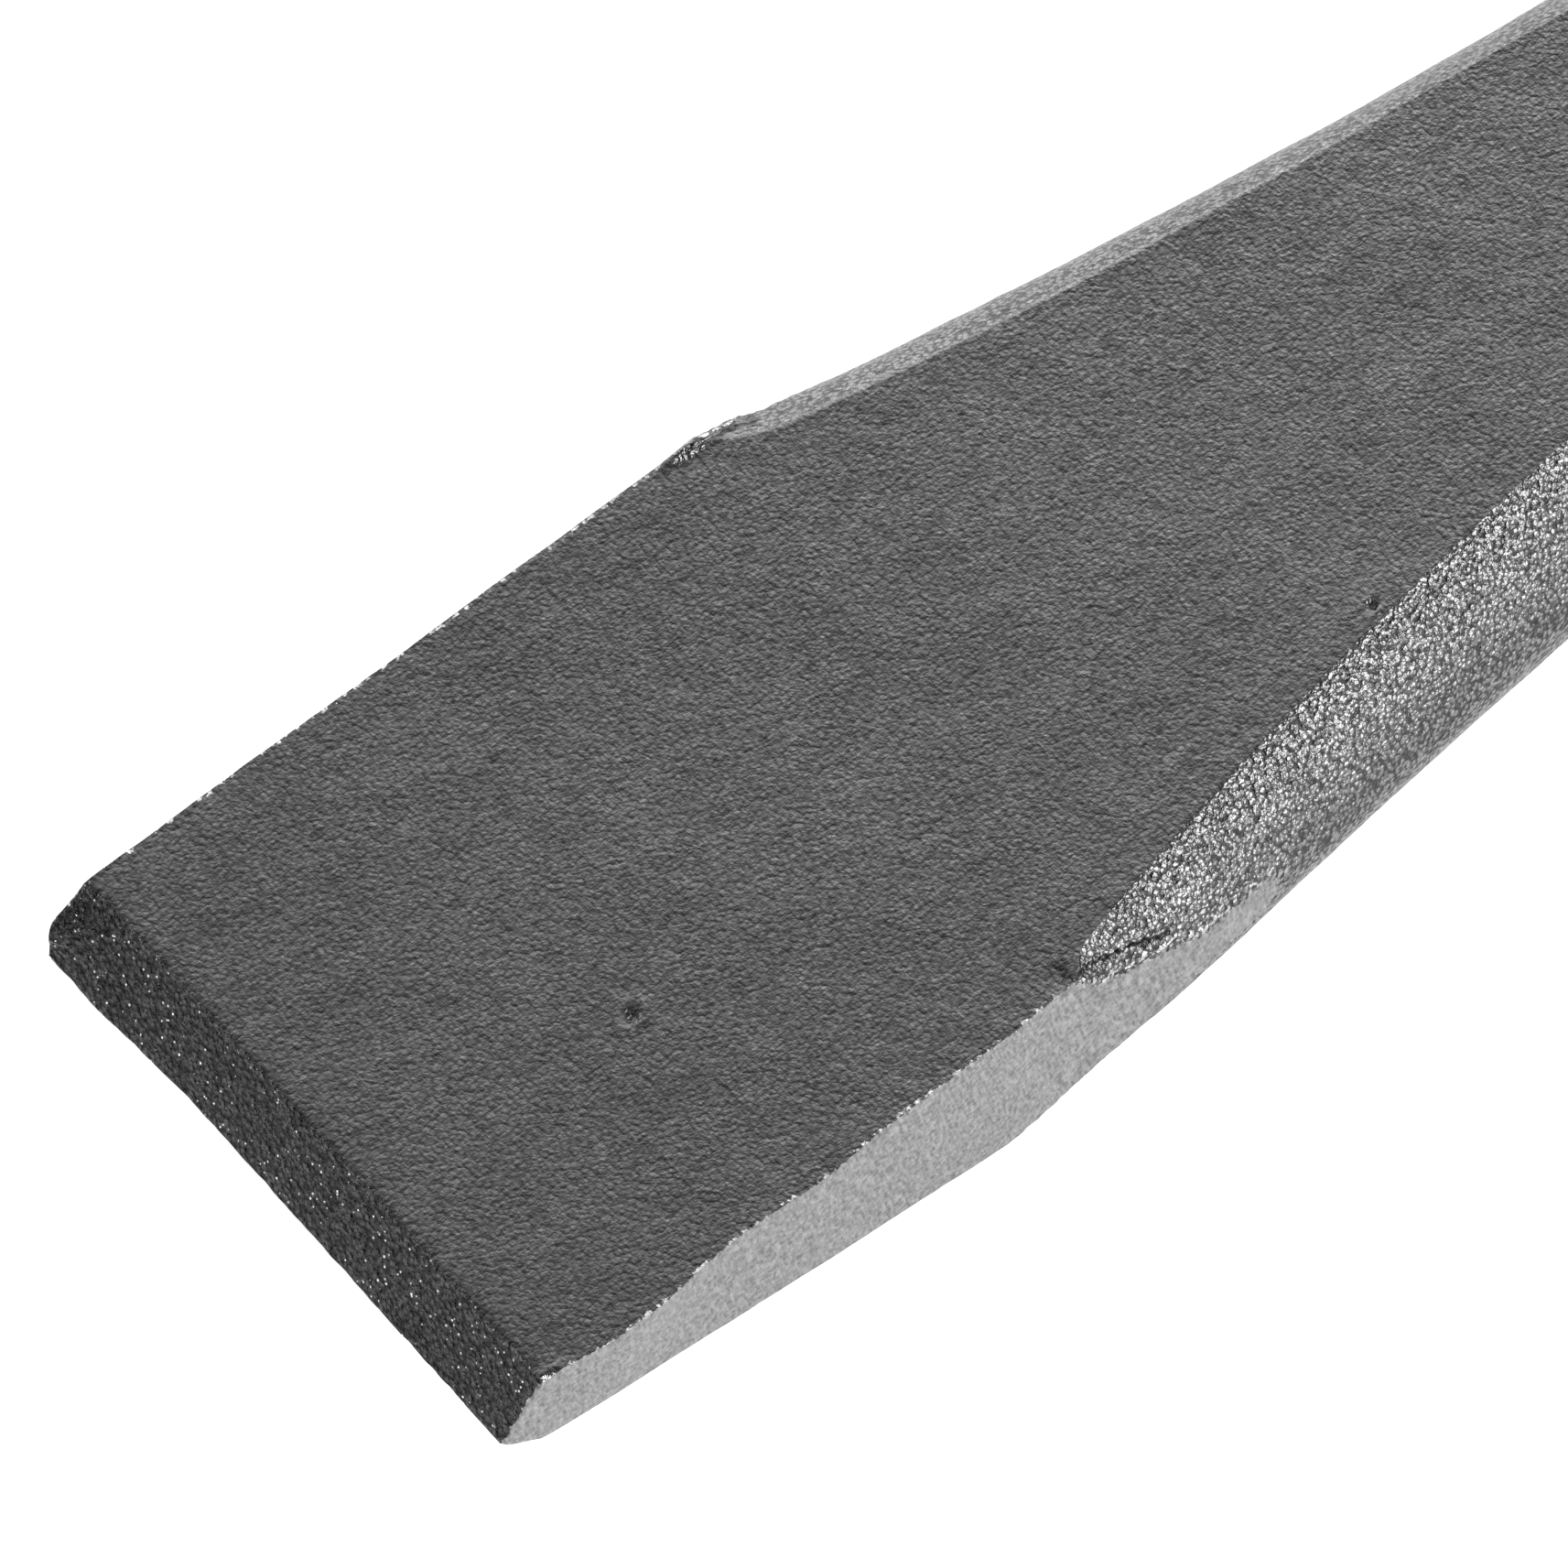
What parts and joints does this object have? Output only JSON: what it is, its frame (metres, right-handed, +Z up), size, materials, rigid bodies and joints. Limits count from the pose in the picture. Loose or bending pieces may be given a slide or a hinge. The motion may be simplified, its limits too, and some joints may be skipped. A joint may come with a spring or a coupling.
{
  "type": "flat chisel bit",
  "caption": "Forged steel flat chisel bit: slim wedge blade with ground flanks and bevelled edge, round bar, turned neck and a grooved drive shank.",
  "frame": {"origin": "bottom centre of the bounding box, with the bit lying on its round bar", "axes": "+X along the bit towards the cutting edge, +Y across the blade, +Z up out of the broad face"},
  "size_m": [0.25, 0.02, 0.014],
  "materials": {
    "blasted_steel": "shot-blasted dark steel, with the blade's flanks ground to a light satin"
  },
  "bodies": {
    "root": {"chisel_bar": "blasted_steel"}
  },
  "joints": []
}
